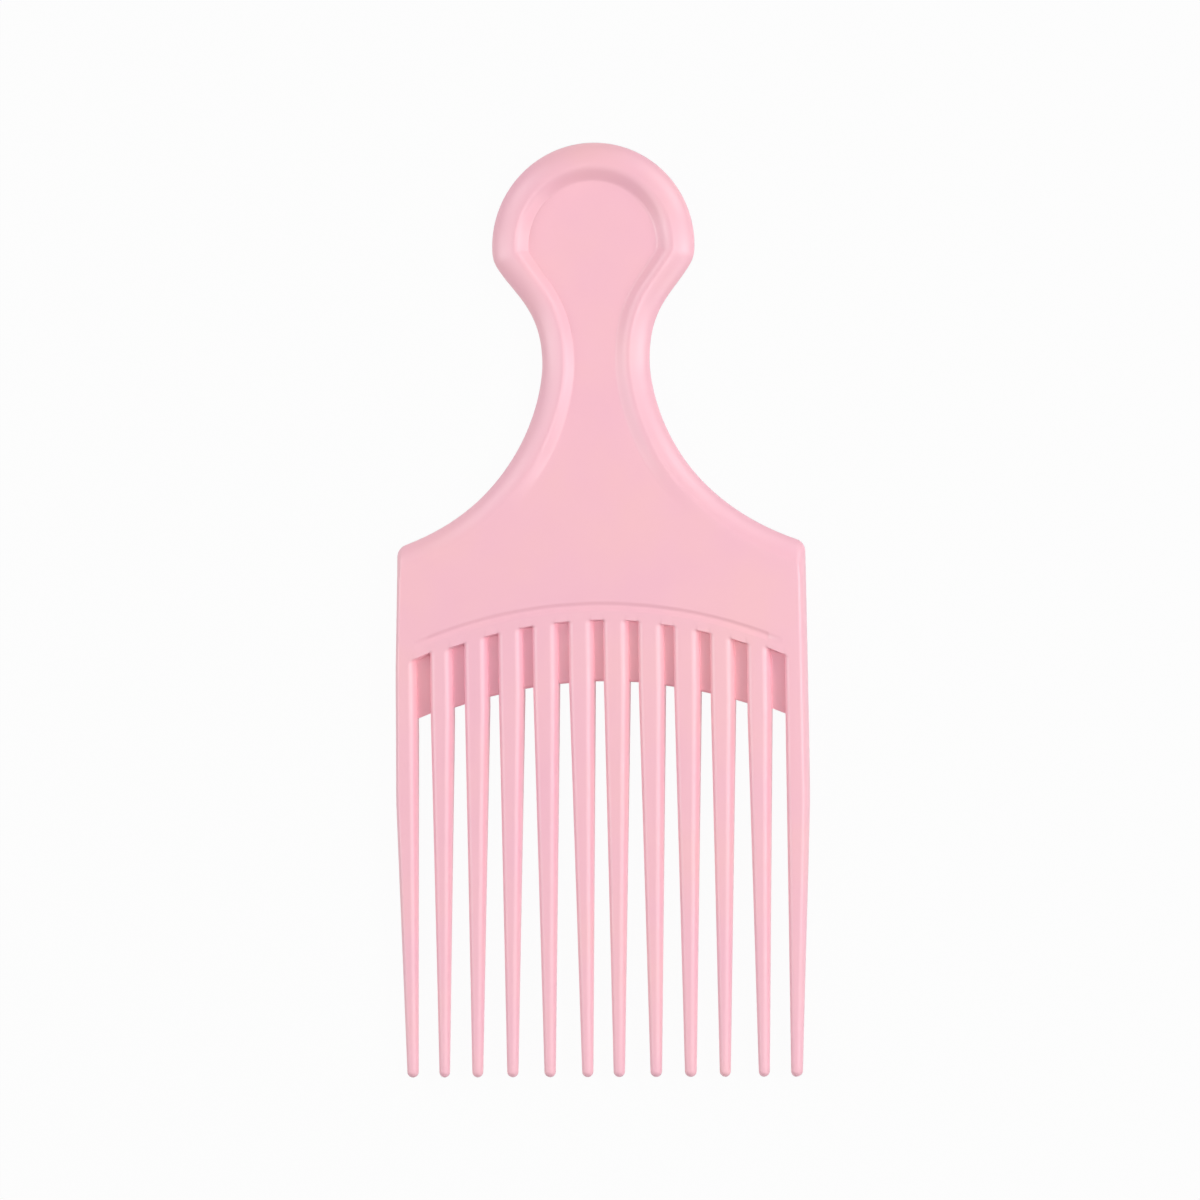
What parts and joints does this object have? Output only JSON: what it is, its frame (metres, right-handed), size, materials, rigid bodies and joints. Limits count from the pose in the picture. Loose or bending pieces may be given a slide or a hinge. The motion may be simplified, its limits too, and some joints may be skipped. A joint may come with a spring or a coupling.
{
  "type": "hair pick comb",
  "caption": "Flat wide-toothed hair pick with a round thumb head, a waisted rimmed handle, square shoulders and long tapered teeth, in satin soft-touch plastic.",
  "frame": {"origin": "centre of the comb's outline, on the plane that its back rests on", "axes": "+Y along the comb towards the head of the handle, teeth towards -Y; +X across the comb; +Z out of the front, with the comb lying on its back"},
  "size_m": [0.0794, 0.1778, 0.005],
  "materials": {
    "soft_touch_plastic": "satin soft-touch, pale pink"
  },
  "bodies": {
    "root": {"handle": "soft_touch_plastic", "spine": "soft_touch_plastic", "tooth_01": "soft_touch_plastic", "tooth_02": "soft_touch_plastic", "tooth_03": "soft_touch_plastic", "tooth_04": "soft_touch_plastic", "tooth_05": "soft_touch_plastic", "tooth_06": "soft_touch_plastic", "tooth_07": "soft_touch_plastic", "tooth_08": "soft_touch_plastic", "tooth_09": "soft_touch_plastic", "tooth_10": "soft_touch_plastic", "tooth_11": "soft_touch_plastic", "tooth_12": "soft_touch_plastic"}
  },
  "joints": []
}
